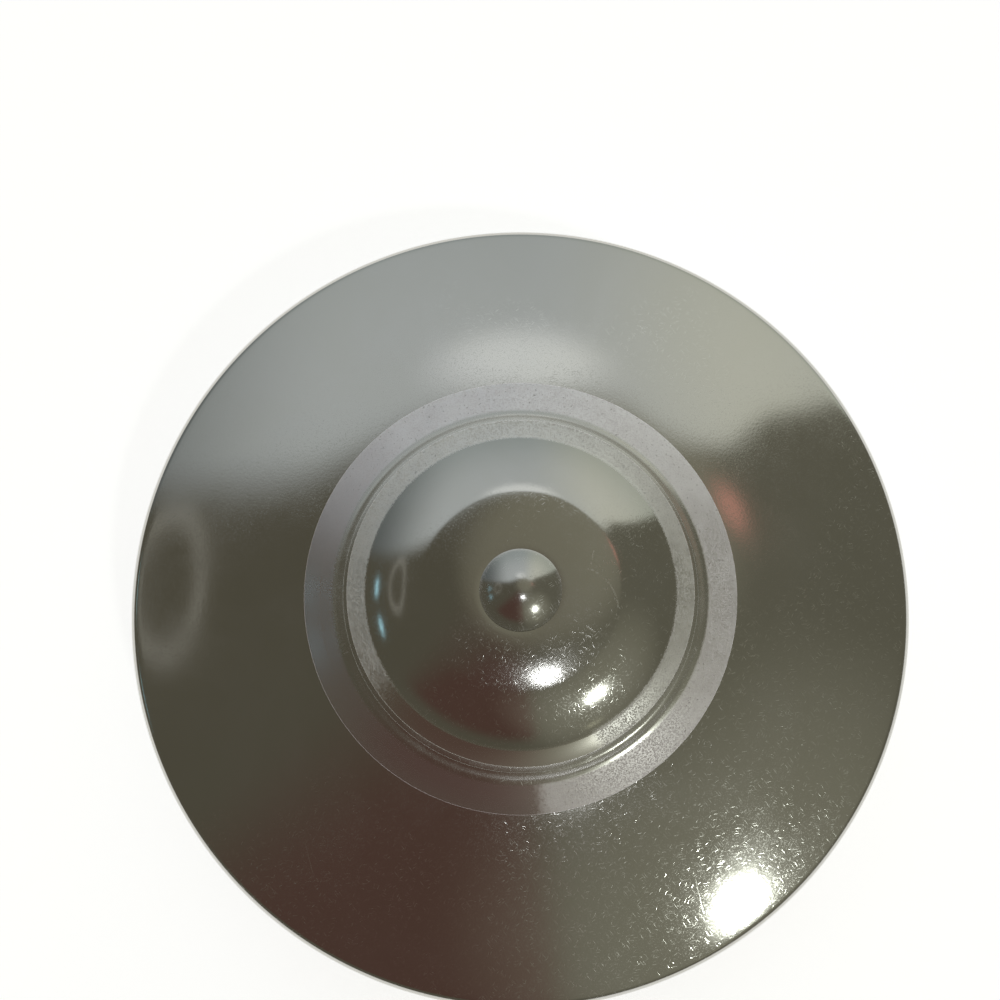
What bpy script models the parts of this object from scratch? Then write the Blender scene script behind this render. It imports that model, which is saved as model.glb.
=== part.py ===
"""A round dough cutter and sealer with a sprung plunger.

The outer shell is a shallow cup whose lower edge cuts a disc of dough. A knob stands on a rod that runs
through the shell, and a fluted crimper hangs on the rod inside the cup. Pressing the knob lowers the
crimper onto the dough's edge, and a coil spring in the neck lifts it back.

Metres, +Z up. The origin is the centre of the cutting edge, so the tool stands on Z = 0.
"""

import math

import bmesh
import bpy
from mathutils import Vector

MM = 0.001

# Clearances
SEAT_GAP = 0.3 * MM
SEAM_GAP = 0.2 * MM
SLIDE_GAP = 0.4 * MM
BORE_GAP = 0.15 * MM

# Cutter shell
SHELL_RADIUS = 46.0 * MM
SHELL_SHEET = 0.9 * MM
SKIRT_HEIGHT = 15.6 * MM
SHOULDER_RADIUS = 1.4 * MM
RIM_SLOPE = math.radians(12.0)
SHELL_SEAT_MARGIN = 0.8 * MM
EDGE_LAND = 0.4 * MM
EDGE_BEVEL_HEIGHT = 2.0 * MM
SHELL_SEGMENTS = 72

# Plunger travel
PRESS_TRAVEL = 6.0 * MM
SEAL_CLEARANCE = 0.5 * MM

# Neck sleeve and its rivets
NECK_RADIUS = 9.9 * MM
NECK_WALL = 1.0 * MM
NECK_FLANGE_WIDTH = 5.3 * MM
NECK_FLANGE_THICKNESS = 1.0 * MM
NECK_FILLET = 0.6 * MM
NECK_SEGMENTS = 32
RIVET_COUNT = 3
RIVET_SHANK_RADIUS = 0.9 * MM
RIVET_HEAD_RADIUS = 1.6 * MM
RIVET_HEAD_HEIGHT = 0.8 * MM
RIVET_START_ANGLE = math.radians(37.0)
RIVET_SEGMENTS = 12

# Knob bell, which carries the finger flange
FINGER_ROOM = 22.5 * MM
FLANGE_WIDTH = 4.0 * MM
FLANGE_SLOPE = math.radians(20.0)
HEM_RADIUS = 0.5 * MM
BELL_SHEET = 0.9 * MM
BELL_STEP_WIDTH = 0.85 * MM
BELL_SHOULDER_FILLET = 0.4 * MM
BELL_FOOT_FILLET = 0.5 * MM
BELL_WALL_HEIGHT = 1.24 * MM
BELL_LEDGE_WIDTH = 2.0 * MM
BELL_THROAT_CLEARANCE = 1.0 * MM
KNOB_SEGMENTS = 48

# Knob cap, whose rim is crimped round the top of the bell
CAP_SHEET = 0.6 * MM
CAP_RIM_FILLET = 0.3 * MM
CAP_RIM_DEPTH = 2.1 * MM
CAP_CURL_REACH = 0.35 * MM
BRIM_WIDTH = 1.05 * MM
DOME_BREAK_RADIUS = 8.5 * MM
DOME_SEAT_RADIUS = 4.0 * MM
DOME_BREAK_SLOPE = math.radians(6.0)
DOME_SHOULDER_SLOPE = math.radians(10.0)
DOME_EDGE_SLOPE = math.radians(30.0)

# Plunger rod, a shouldered pin with a formed head at each end
ROD_RADIUS = 3.0 * MM
SPIGOT_RADIUS = 2.25 * MM
ROD_HEAD_RADIUS = 3.45 * MM
ROD_HEAD_HEIGHT = 1.2 * MM
ROD_SEGMENTS = 20

# Knob core, a top hat spacer between the rod's shoulder and the cap
CORE_RADIUS = 4.6 * MM
CORE_FLANGE_THICKNESS = 1.5 * MM
CORE_SINK = 0.5 * MM

# Guide bush in the middle of the shell
BUSH_RADIUS = 4.6 * MM
BUSH_FLANGE_RADIUS = 7.0 * MM
BUSH_FLANGE_THICKNESS = 1.0 * MM
BUSH_LIP_RADIUS = 5.8 * MM
BUSH_LIP_THICKNESS = 0.8 * MM

# Spring and its seats
SPRING_WIRE_RADIUS = 0.55 * MM
SPRING_TURNS = 6.5
SPRING_END_TURNS = 0.75
SPRING_POINTS_PER_TURN = 10
SPRING_SEAT_THICKNESS = 0.8 * MM

# Crimper and the washers that clamp it
CRIMPER_SHEET = 0.8 * MM
CRIMPER_CLEARANCE = 1.1 * MM
CRIMPER_HEADROOM = 0.38 * MM
CRIMPER_SHOULDER_RADIUS = 2.2 * MM
FLUTE_DEPTH = 1.2 * MM
FLUTE_COUNT = 40
COLUMNS_PER_FLUTE = 4
HUB_WASHER_RADIUS = 8.0 * MM
TAIL_WASHER_RADIUS = 6.0 * MM
TAIL_WASHER_THICKNESS = 1.0 * MM
WASHER_SEGMENTS = 24

# The neck's flange stands on the shell's level seat
NECK_FLANGE_RADIUS = NECK_RADIUS + NECK_FLANGE_WIDTH
SHELL_SEAT_RADIUS = NECK_FLANGE_RADIUS + SHELL_SEAT_MARGIN

# The shell's height: the fillet runs into the domed top, which ends level at the neck's seat
DOME_START_RADIUS = SHELL_RADIUS - SHOULDER_RADIUS + SHOULDER_RADIUS * math.sin(RIM_SLOPE)
DOME_START_Z = SKIRT_HEIGHT + SHOULDER_RADIUS * math.cos(RIM_SLOPE)
TOP_ARC_RADIUS = (DOME_START_RADIUS - SHELL_SEAT_RADIUS) / math.sin(RIM_SLOPE)
SHELL_TOP_Z = DOME_START_Z + TOP_ARC_RADIUS * (1 - math.cos(RIM_SLOPE))
SHELL_UNDER_Z = SHELL_TOP_Z - SHELL_SHEET
TOP_ARC_CENTRE_Z = SHELL_TOP_Z - TOP_ARC_RADIUS


def shell_underside(radius):
    """Height of the shell's underside at this distance from the axis."""
    return TOP_ARC_CENTRE_Z + math.sqrt((TOP_ARC_RADIUS - SHELL_SHEET) ** 2 - (radius - SHELL_SEAT_RADIUS) ** 2)


# The knob is as wide as the neck needs: the throat clears it, and the cap is crimped round the bell's top
THROAT_RADIUS = NECK_RADIUS + BELL_THROAT_CLEARANCE
BELL_NECK_BORE_RADIUS = THROAT_RADIUS + BELL_LEDGE_WIDTH
BELL_NECK_RADIUS = BELL_NECK_BORE_RADIUS + BELL_SHEET
CURL_RADIUS = BELL_NECK_RADIUS + SEAM_GAP
LIP_INNER_RADIUS = CURL_RADIUS + CAP_CURL_REACH
CAP_RIM_RADIUS = LIP_INNER_RADIUS + CAP_SHEET
DOME_RADIUS = CAP_RIM_RADIUS - CAP_RIM_FILLET - BRIM_WIDTH
BELL_SHOULDER_RADIUS = CAP_RIM_RADIUS + BELL_STEP_WIDTH
FLANGE_RADIUS = BELL_SHOULDER_RADIUS + FLANGE_WIDTH

# The knob's heights, from its flange up. The foot's fillet is tangent to the flange and to the upright wall.
FLANGE_Z = SHELL_TOP_Z + FINGER_ROOM
HEM_CENTRE_RADIUS = FLANGE_RADIUS - HEM_RADIUS
FOOT_CENTRE_RADIUS = BELL_SHOULDER_RADIUS + BELL_FOOT_FILLET
FOOT_CENTRE_Z = (
    FLANGE_Z
    + (HEM_RADIUS + BELL_FOOT_FILLET) / math.cos(FLANGE_SLOPE)
    + (HEM_CENTRE_RADIUS - FOOT_CENTRE_RADIUS) * math.tan(FLANGE_SLOPE)
)
BELL_LEDGE_Z = FOOT_CENTRE_Z + BELL_WALL_HEIGHT + BELL_SHOULDER_FILLET
CAP_LIP_Z = BELL_LEDGE_Z + SEAM_GAP
BRIM_Z = CAP_LIP_Z + CAP_RIM_DEPTH
BRIM_UNDER_Z = BRIM_Z - CAP_SHEET
CURL_TOP_Z = CAP_LIP_Z + CAP_SHEET

# The dome is a flat seat, a crown arc tangent to it, and a shoulder arc that starts a little steeper
CROWN_ARC_RADIUS = (DOME_BREAK_RADIUS - DOME_SEAT_RADIUS) / math.sin(DOME_BREAK_SLOPE)
SHOULDER_ARC_RADIUS = (DOME_RADIUS - DOME_BREAK_RADIUS) / (math.sin(DOME_EDGE_SLOPE) - math.sin(DOME_SHOULDER_SLOPE))
CROWN_DROP = CROWN_ARC_RADIUS * (1 - math.cos(DOME_BREAK_SLOPE))
SHOULDER_DROP = SHOULDER_ARC_RADIUS * (math.cos(DOME_SHOULDER_SLOPE) - math.cos(DOME_EDGE_SLOPE))
DOME_TOP_Z = BRIM_Z + CROWN_DROP + SHOULDER_DROP
CROWN_ARC_CENTRE = (DOME_SEAT_RADIUS, DOME_TOP_Z - CROWN_ARC_RADIUS)
SHOULDER_ARC_CENTRE = (
    DOME_BREAK_RADIUS - SHOULDER_ARC_RADIUS * math.sin(DOME_SHOULDER_SLOPE),
    DOME_TOP_Z - CROWN_DROP - SHOULDER_ARC_RADIUS * math.cos(DOME_SHOULDER_SLOPE),
)


def dome_underside(radius):
    """Height of the cap's underside at this distance from the axis."""
    if radius <= DOME_SEAT_RADIUS:
        return DOME_TOP_Z - CAP_SHEET
    crown = radius <= DOME_BREAK_RADIUS
    centre = CROWN_ARC_CENTRE if crown else SHOULDER_ARC_CENTRE
    inner = (CROWN_ARC_RADIUS if crown else SHOULDER_ARC_RADIUS) - CAP_SHEET
    return centre[1] + math.sqrt(max(inner**2 - (radius - centre[0]) ** 2, 0))


# The neck ends where the cap's underside comes down to it at the end of the travel
NECK_BORE_RADIUS = NECK_RADIUS - NECK_WALL
NECK_BASE_Z = SHELL_TOP_Z + SEAT_GAP
NECK_FLANGE_TOP_Z = NECK_BASE_Z + NECK_FLANGE_THICKNESS
NECK_TOP_Z = dome_underside(NECK_RADIUS) - PRESS_TRAVEL - SLIDE_GAP
RIVET_CIRCLE_RADIUS = (NECK_RADIUS + NECK_FILLET + NECK_FLANGE_RADIUS) / 2

# The stack inside the neck, from the core's flange down to the shell
CORE_FLANGE_RADIUS = NECK_BORE_RADIUS - SLIDE_GAP
CORE_FLANGE_TOP_Z = NECK_TOP_Z - CORE_SINK
CORE_BASE_Z = CORE_FLANGE_TOP_Z - CORE_FLANGE_THICKNESS
CORE_TOP_Z = DOME_TOP_Z - CAP_SHEET - SEAT_GAP
UPPER_SEAT_TOP_Z = CORE_BASE_Z - SEAT_GAP
UPPER_SEAT_BASE_Z = UPPER_SEAT_TOP_Z - SPRING_SEAT_THICKNESS
BUSH_FLANGE_BASE_Z = SHELL_TOP_Z + SEAT_GAP
BUSH_FLANGE_TOP_Z = BUSH_FLANGE_BASE_Z + BUSH_FLANGE_THICKNESS
LOWER_SEAT_BASE_Z = BUSH_FLANGE_TOP_Z + SEAT_GAP
LOWER_SEAT_TOP_Z = LOWER_SEAT_BASE_Z + SPRING_SEAT_THICKNESS
SPRING_COIL_RADIUS = (CORE_FLANGE_RADIUS + ROD_RADIUS) / 2 + SPRING_WIRE_RADIUS

# The crimper's rim clears the shell's underside
CRIMPER_RADIUS = SHELL_RADIUS - SHELL_SHEET - CRIMPER_CLEARANCE - FLUTE_DEPTH / 2
CRIMPER_TOP_Z = shell_underside(CRIMPER_RADIUS - CRIMPER_SHOULDER_RADIUS) - CRIMPER_HEADROOM

# The stack under the shell, from the bush's lip down to the rod's tail. The top washer is as thick as the stack needs.
BUSH_LIP_TOP_Z = SHELL_UNDER_Z - SEAT_GAP
BUSH_BASE_Z = BUSH_LIP_TOP_Z - BUSH_LIP_THICKNESS
HUB_WASHER_TOP_Z = BUSH_BASE_Z - SEAT_GAP
HUB_WASHER_BASE_Z = CRIMPER_TOP_Z + SEAT_GAP
CRIMPER_UNDER_Z = CRIMPER_TOP_Z - CRIMPER_SHEET
CRIMPER_EDGE_Z = PRESS_TRAVEL + SEAL_CLEARANCE
TAIL_WASHER_TOP_Z = CRIMPER_UNDER_Z - SEAT_GAP
TAIL_WASHER_BASE_Z = TAIL_WASHER_TOP_Z - TAIL_WASHER_THICKNESS

SPIGOT_BORE_RADIUS = SPIGOT_RADIUS + BORE_GAP
ROD_BORE_RADIUS = ROD_RADIUS + BORE_GAP

# Base colour, roughness and metallic value of each finish
PLATED_STEEL = ((0.56, 0.55, 0.51), 0.16, 1.0)
SATIN_ALLOY = ((0.53, 0.51, 0.49), 0.38, 1.0)
PLAIN_STEEL = ((0.45, 0.45, 0.44), 0.30, 1.0)
SPRING_STEEL = ((0.32, 0.32, 0.33), 0.28, 1.0)
BUSH_BRASS = ((0.72, 0.55, 0.26), 0.32, 1.0)


def clear_scene():
    for obj in list(bpy.data.objects):
        bpy.data.objects.remove(obj)


def piece_material(name, finish):
    """A piece's own Principled material."""
    colour, roughness, metallic = finish
    material = bpy.data.materials.new(name)
    material.use_nodes = True
    shader = material.node_tree.nodes["Principled BSDF"]
    shader.inputs["Base Color"].default_value = (*colour, 1.0)
    shader.inputs["Roughness"].default_value = roughness
    shader.inputs["Metallic"].default_value = metallic
    return material


def arc(centre, radius, start, end, steps):
    """Points (distance from the axis, height) along an arc; angles run from outwards, up."""
    return [
        (
            centre[0] + radius * math.cos(start + (end - start) * i / steps),
            centre[1] + radius * math.sin(start + (end - start) * i / steps),
        )
        for i in range(steps + 1)
    ]


def place(name, mesh, finish, location=(0, 0, 0)):
    """An object for one piece, smooth where its faces run on."""
    obj = bpy.data.objects.new(name, mesh)
    bpy.context.scene.collection.objects.link(obj)
    obj.location = location
    mesh.materials.append(piece_material(name, finish))
    mesh.shade_smooth()
    mesh.set_sharp_from_angle(angle=math.radians(35))
    return obj


def turned(name, profile, finish, segments, reshape=None):
    """A piece turned about Z from a profile of (distance, height) points.

    A profile that starts and ends on the axis is left open, and any other is closed into a ring.
    """
    bm = bmesh.new()
    verts = [bm.verts.new((distance, 0, height)) for distance, height in profile]
    closed = profile[0][0] > 0
    count = len(verts) if closed else len(verts) - 1
    edges = [bm.edges.new((verts[i], verts[(i + 1) % len(verts)])) for i in range(count)]
    bmesh.ops.spin(
        bm,
        geom=verts + edges,
        cent=(0, 0, 0),
        axis=(0, 0, 1),
        angle=math.tau,
        steps=segments,
        use_merge=True,
        use_duplicate=False,
    )
    bmesh.ops.remove_doubles(bm, verts=bm.verts, dist=SEAM_GAP / 100)
    if reshape:
        reshape(bm)
    bmesh.ops.recalc_face_normals(bm, faces=bm.faces)
    mesh = bpy.data.meshes.new(name)
    bm.to_mesh(mesh)
    bm.free()
    return place(name, mesh, finish)


def washer(name, outer, bore, base, top, finish):
    return turned(name, [(bore, base), (outer, base), (outer, top), (bore, top)], finish, WASHER_SEGMENTS)


def make_cutter_shell():
    """The outer cup: a bevelled cutting edge, a straight skirt, a rounded shoulder and a domed top."""
    shoulder_centre = (SHELL_RADIUS - SHOULDER_RADIUS, SKIRT_HEIGHT)
    top_centre = (SHELL_SEAT_RADIUS, TOP_ARC_CENTRE_Z)
    upright = math.pi / 2
    inner_radius = SHELL_RADIUS - SHELL_SHEET
    profile = [(SHELL_RADIUS, 0)]
    profile += arc(shoulder_centre, SHOULDER_RADIUS, 0, upright - RIM_SLOPE, 3)
    profile += arc(top_centre, TOP_ARC_RADIUS, upright - RIM_SLOPE, upright, 5)[1:]
    profile += [(BUSH_RADIUS + BORE_GAP, SHELL_TOP_Z), (BUSH_RADIUS + BORE_GAP, SHELL_UNDER_Z)]
    profile += arc(top_centre, TOP_ARC_RADIUS - SHELL_SHEET, upright, upright - RIM_SLOPE, 4)
    profile += arc(shoulder_centre, SHOULDER_RADIUS - SHELL_SHEET, upright - RIM_SLOPE, 0, 2)[1:]
    profile += [(inner_radius, EDGE_BEVEL_HEIGHT), (SHELL_RADIUS - EDGE_LAND, 0)]
    shell = turned("cutter_shell", profile, PLATED_STEEL, SHELL_SEGMENTS)
    for index in range(RIVET_COUNT):
        drill_for_rivet(shell, index)
    return shell


def rivet_place(index):
    angle = RIVET_START_ANGLE + math.tau * index / RIVET_COUNT
    return (RIVET_CIRCLE_RADIUS * math.cos(angle), RIVET_CIRCLE_RADIUS * math.sin(angle), 0)


def drill_for_rivet(target, index):
    """A round hole through one sheet for one rivet."""
    bore = RIVET_SHANK_RADIUS + BORE_GAP
    low = SHELL_UNDER_Z - RIVET_HEAD_HEIGHT
    high = NECK_FLANGE_TOP_Z + RIVET_HEAD_HEIGHT
    profile = [(0, low), (bore, low), (bore, high), (0, high)]
    cutter = turned(f"{target.name}_drill_{index + 1}", profile, PLAIN_STEEL, RIVET_SEGMENTS)
    cutter.location = rivet_place(index)
    cutter.hide_render = True
    cutter.display_type = "WIRE"
    hole = target.modifiers.new(f"rivet_hole_{index + 1}", "BOOLEAN")
    hole.operation = "DIFFERENCE"
    hole.object = cutter


def make_neck_sleeve():
    """The flanged tube that houses the spring and guides the core."""
    fillet_centre = (NECK_RADIUS + NECK_FILLET, NECK_FLANGE_TOP_Z + NECK_FILLET)
    profile = [(NECK_BORE_RADIUS, NECK_BASE_Z), (NECK_FLANGE_RADIUS, NECK_BASE_Z)]
    profile += [(NECK_FLANGE_RADIUS, NECK_FLANGE_TOP_Z)]
    profile += arc(fillet_centre, NECK_FILLET, -math.pi / 2, -math.pi, 3)
    profile += [(NECK_RADIUS, NECK_TOP_Z), (NECK_BORE_RADIUS, NECK_TOP_Z)]
    sleeve = turned("neck_sleeve", profile, SATIN_ALLOY, NECK_SEGMENTS)
    for index in range(RIVET_COUNT):
        drill_for_rivet(sleeve, index)
    return sleeve


def make_neck_rivets():
    """Domed rivets that hold the neck's flange to the shell."""
    head_base = NECK_FLANGE_TOP_Z + SEAT_GAP
    tail_top = SHELL_UNDER_Z - SEAT_GAP
    profile = [(0, tail_top - RIVET_HEAD_HEIGHT), (RIVET_SHANK_RADIUS, tail_top - RIVET_HEAD_HEIGHT)]
    profile += [(RIVET_HEAD_RADIUS, tail_top), (RIVET_SHANK_RADIUS, tail_top)]
    profile += [(RIVET_SHANK_RADIUS, head_base)]
    profile += domed_head(RIVET_HEAD_RADIUS, RIVET_HEAD_HEIGHT, head_base, 3)
    for index in range(RIVET_COUNT):
        rivet = turned(f"neck_rivet_{index + 1}", profile, PLAIN_STEEL, RIVET_SEGMENTS)
        rivet.location = rivet_place(index)


def domed_head(radius, height, base, steps):
    """A shallow round head, from its rim up to the axis."""
    sphere = (radius**2 + height**2) / (2 * height)
    start = math.asin((sphere - height) / sphere)
    points = arc((0, base + height - sphere), sphere, start, math.pi / 2, steps)
    return points[:-1] + [(0, base + height)]


def make_guide_bush():
    """The flanged bush that the rod slides in, its lower end rolled out under the shell."""
    profile = [(ROD_BORE_RADIUS, BUSH_BASE_Z), (BUSH_LIP_RADIUS, BUSH_BASE_Z), (BUSH_LIP_RADIUS, BUSH_LIP_TOP_Z)]
    profile += [(BUSH_RADIUS, BUSH_LIP_TOP_Z), (BUSH_RADIUS, BUSH_FLANGE_BASE_Z)]
    profile += [(BUSH_FLANGE_RADIUS, BUSH_FLANGE_BASE_Z), (BUSH_FLANGE_RADIUS, BUSH_FLANGE_TOP_Z)]
    profile += [(ROD_BORE_RADIUS, BUSH_FLANGE_TOP_Z)]
    return turned("guide_bush", profile, BUSH_BRASS, WASHER_SEGMENTS)


def make_spring_seats():
    bore = ROD_BORE_RADIUS + BORE_GAP
    washer("lower_spring_washer", CORE_FLANGE_RADIUS, bore, LOWER_SEAT_BASE_Z, LOWER_SEAT_TOP_Z, PLAIN_STEEL)
    washer("upper_spring_washer", CORE_FLANGE_RADIUS, bore, UPPER_SEAT_BASE_Z, UPPER_SEAT_TOP_Z, PLAIN_STEEL)


def spring_point(turn, low, high):
    """A point of the helix, whose climb eases off over the turns at each end."""
    eased = SPRING_TURNS - SPRING_END_TURNS
    if turn < SPRING_END_TURNS:
        climbed = turn**2 / (2 * SPRING_END_TURNS)
    elif turn <= eased:
        climbed = turn - SPRING_END_TURNS / 2
    else:
        climbed = eased - (SPRING_TURNS - turn) ** 2 / (2 * SPRING_END_TURNS)
    angle = math.tau * turn
    return Vector(
        (
            SPRING_COIL_RADIUS * math.cos(angle),
            SPRING_COIL_RADIUS * math.sin(angle),
            low + (high - low) * climbed / eased,
        )
    )


def make_return_spring():
    """The coil spring between the two seats, one unbroken wire."""
    low = LOWER_SEAT_TOP_Z + SEAT_GAP + SPRING_WIRE_RADIUS
    high = UPPER_SEAT_BASE_Z - SEAT_GAP - SPRING_WIRE_RADIUS
    count = round(SPRING_TURNS * SPRING_POINTS_PER_TURN)
    points = [spring_point(i / SPRING_POINTS_PER_TURN, low, high) for i in range(count + 1)]
    far = SPRING_POINTS_PER_TURN // 2
    least = min((a - b).length for i, a in enumerate(points) for b in points[i + far :])
    print(f"return_spring: least gap to itself {(least - 2 * SPRING_WIRE_RADIUS) / MM:.2f} mm")
    curve = bpy.data.curves.new("return_spring", "CURVE")
    curve.dimensions = "3D"
    curve.bevel_depth = SPRING_WIRE_RADIUS
    curve.bevel_resolution = 1
    curve.use_fill_caps = True
    wire = curve.splines.new("POLY")
    wire.points.add(len(points) - 1)
    for spline_point, point in zip(wire.points, points):
        spline_point.co = (*point, 1)
    spring = bpy.data.objects.new("return_spring", curve)
    bpy.context.scene.collection.objects.link(spring)
    curve.materials.append(piece_material("return_spring", SPRING_STEEL))
    return spring


def make_knob_core():
    """The spacer that carries the cap's crown, with the flange that the spring pushes up."""
    profile = [(SPIGOT_BORE_RADIUS, CORE_BASE_Z), (CORE_FLANGE_RADIUS, CORE_BASE_Z)]
    profile += [(CORE_FLANGE_RADIUS, CORE_FLANGE_TOP_Z), (CORE_RADIUS, CORE_FLANGE_TOP_Z)]
    profile += [(CORE_RADIUS, CORE_TOP_Z), (SPIGOT_BORE_RADIUS, CORE_TOP_Z)]
    return turned("knob_core", profile, PLAIN_STEEL, WASHER_SEGMENTS)


def make_knob_bell():
    """The lower part of the knob: a hemmed finger flange, a short wall, a ledge and a bead for the cap."""
    down = -math.pi / 2
    hem_centre = (HEM_CENTRE_RADIUS, FLANGE_Z)
    foot_centre = (FOOT_CENTRE_RADIUS, FOOT_CENTRE_Z)
    shoulder_centre = (BELL_SHOULDER_RADIUS - BELL_SHOULDER_FILLET, BELL_LEDGE_Z - BELL_SHOULDER_FILLET)
    bead = LIP_INNER_RADIUS - SEAM_GAP
    bead_base = CURL_TOP_Z + SEAM_GAP
    bead_top = BRIM_UNDER_Z - SEAM_GAP
    inner_wall = BELL_SHOULDER_RADIUS - BELL_SHEET
    throat_z = FLANGE_Z + (HEM_CENTRE_RADIUS - inner_wall) * math.tan(FLANGE_SLOPE) - HEM_RADIUS
    profile = arc(hem_centre, HEM_RADIUS, down - FLANGE_SLOPE, math.pi / 2 - FLANGE_SLOPE, 6)
    profile += arc(foot_centre, BELL_FOOT_FILLET, down - FLANGE_SLOPE, -math.pi, 4)
    profile += arc(shoulder_centre, BELL_SHOULDER_FILLET, 0, math.pi / 2, 2)
    profile += [(BELL_NECK_RADIUS, BELL_LEDGE_Z), (BELL_NECK_RADIUS, bead_base), (bead, bead_base), (bead, bead_top)]
    profile += [(THROAT_RADIUS, bead_top), (THROAT_RADIUS, bead_top - BELL_SHEET)]
    profile += [(BELL_NECK_BORE_RADIUS, bead_top - BELL_SHEET), (BELL_NECK_BORE_RADIUS, BELL_LEDGE_Z - BELL_SHEET)]
    profile += [(inner_wall, BELL_LEDGE_Z - BELL_SHEET), (inner_wall, throat_z)]
    return turned("knob_bell", profile, SATIN_ALLOY, KNOB_SEGMENTS)


def make_knob_cap():
    """The domed cap with a flat brim, its rim turned down and curled in under the bell's bead."""
    upright = math.pi / 2
    hole = SPIGOT_BORE_RADIUS
    edge = upright - DOME_EDGE_SLOPE
    under_break = upright - DOME_BREAK_SLOPE
    under_shoulder = upright - DOME_SHOULDER_SLOPE
    rim_centre = (CAP_RIM_RADIUS - CAP_RIM_FILLET, BRIM_Z - CAP_RIM_FILLET)
    inner_crown = CROWN_ARC_RADIUS - CAP_SHEET
    inner_shoulder = SHOULDER_ARC_RADIUS - CAP_SHEET
    inner_edge = SHOULDER_ARC_CENTRE[0] + inner_shoulder * math.cos(edge)
    curl_centre = (CAP_RIM_RADIUS - CAP_RIM_FILLET, CAP_LIP_Z + CAP_RIM_FILLET)
    profile = [(hole, DOME_TOP_Z - CAP_SHEET), (hole, DOME_TOP_Z)]
    profile += arc(CROWN_ARC_CENTRE, CROWN_ARC_RADIUS, upright, under_break, 2)
    profile += arc(SHOULDER_ARC_CENTRE, SHOULDER_ARC_RADIUS, under_shoulder, edge, 6)[1:]
    profile += arc(rim_centre, CAP_RIM_FILLET, upright, 0, 2)
    profile += arc(curl_centre, CAP_RIM_FILLET, 0, -upright, 2)
    profile += [(CURL_RADIUS, CAP_LIP_Z), (CURL_RADIUS, CURL_TOP_Z), (LIP_INNER_RADIUS, CURL_TOP_Z)]
    profile += [(LIP_INNER_RADIUS, BRIM_UNDER_Z), (inner_edge, BRIM_UNDER_Z)]
    profile += arc(SHOULDER_ARC_CENTRE, inner_shoulder, edge, under_shoulder, 4)[:-1]
    profile += arc(CROWN_ARC_CENTRE, inner_crown, under_break, upright, 2)
    return turned("knob_cap", profile, PLATED_STEEL, KNOB_SEGMENTS)


def make_plunger_rod():
    """The shouldered pin: a round head on the cap, a thick shank in the bush, and a head under the crimper."""
    head_base = DOME_TOP_Z + SEAT_GAP
    shoulder_top = CORE_BASE_Z - SEAT_GAP
    shoulder_base = HUB_WASHER_TOP_Z + SEAT_GAP / 2
    tail_top = TAIL_WASHER_BASE_Z - SEAT_GAP
    tail = [(x, 2 * tail_top - z) for x, z in domed_head(ROD_HEAD_RADIUS, ROD_HEAD_HEIGHT, tail_top, 4)]
    profile = tail[::-1]
    profile += [(SPIGOT_RADIUS, tail_top), (SPIGOT_RADIUS, shoulder_base), (ROD_RADIUS, shoulder_base)]
    profile += [(ROD_RADIUS, shoulder_top), (SPIGOT_RADIUS, shoulder_top), (SPIGOT_RADIUS, head_base)]
    profile += domed_head(ROD_HEAD_RADIUS, ROD_HEAD_HEIGHT, head_base, 5)
    return turned("plunger_rod", profile, PLAIN_STEEL, ROD_SEGMENTS)


def flute(bm):
    """Waves the crimper's upright skirt in and out, fading to nothing on its shoulder."""
    fade_top = CRIMPER_TOP_Z - CRIMPER_SHOULDER_RADIUS / 2
    fade_base = CRIMPER_TOP_Z - CRIMPER_SHOULDER_RADIUS
    for vert in bm.verts:
        radius = math.hypot(vert.co.x, vert.co.y)
        if radius < CRIMPER_RADIUS - CRIMPER_SHOULDER_RADIUS:
            continue
        angle = math.atan2(vert.co.y, vert.co.x)
        share = min(max((fade_top - vert.co.z) / (fade_top - fade_base), 0), 1)
        wave = FLUTE_DEPTH / 2 * share * math.cos(FLUTE_COUNT * angle)
        vert.co.x *= 1 + wave / radius
        vert.co.y *= 1 + wave / radius


def make_crimper():
    """The inner cup whose fluted edge seals the dough."""
    corner = (CRIMPER_RADIUS - CRIMPER_SHOULDER_RADIUS, CRIMPER_TOP_Z - CRIMPER_SHOULDER_RADIUS)
    inner = CRIMPER_RADIUS - CRIMPER_SHEET
    upright = math.pi / 2
    profile = [(SPIGOT_BORE_RADIUS, CRIMPER_UNDER_Z), (SPIGOT_BORE_RADIUS, CRIMPER_TOP_Z)]
    profile += arc(corner, CRIMPER_SHOULDER_RADIUS, upright, 0, 3)
    profile += [(CRIMPER_RADIUS, CRIMPER_EDGE_Z), (inner, CRIMPER_EDGE_Z)]
    profile += arc(corner, CRIMPER_SHOULDER_RADIUS - CRIMPER_SHEET, 0, upright, 2)
    return turned("crimper", profile, PLATED_STEEL, FLUTE_COUNT * COLUMNS_PER_FLUTE, flute)


def make_crimper_washers():
    bore = SPIGOT_BORE_RADIUS
    washer("crimper_top_washer", HUB_WASHER_RADIUS, bore, HUB_WASHER_BASE_Z, HUB_WASHER_TOP_Z, PLAIN_STEEL)
    washer("crimper_tail_washer", TAIL_WASHER_RADIUS, bore, TAIL_WASHER_BASE_Z, TAIL_WASHER_TOP_Z, PLAIN_STEEL)


def parent_moving_pieces():
    """The plunger turns on the spring's upper seat, which slides with it along Z."""
    slide = bpy.data.objects.new("press_axis", None)
    spin = bpy.data.objects.new("spin_axis", None)
    for empty in (slide, spin):
        bpy.context.scene.collection.objects.link(empty)
    spin.parent = slide
    bpy.data.objects["upper_spring_washer"].parent = slide
    for name in (
        "knob_core",
        "knob_bell",
        "knob_cap",
        "plunger_rod",
        "crimper_top_washer",
        "crimper",
        "crimper_tail_washer",
    ):
        bpy.data.objects[name].parent = spin


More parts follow.
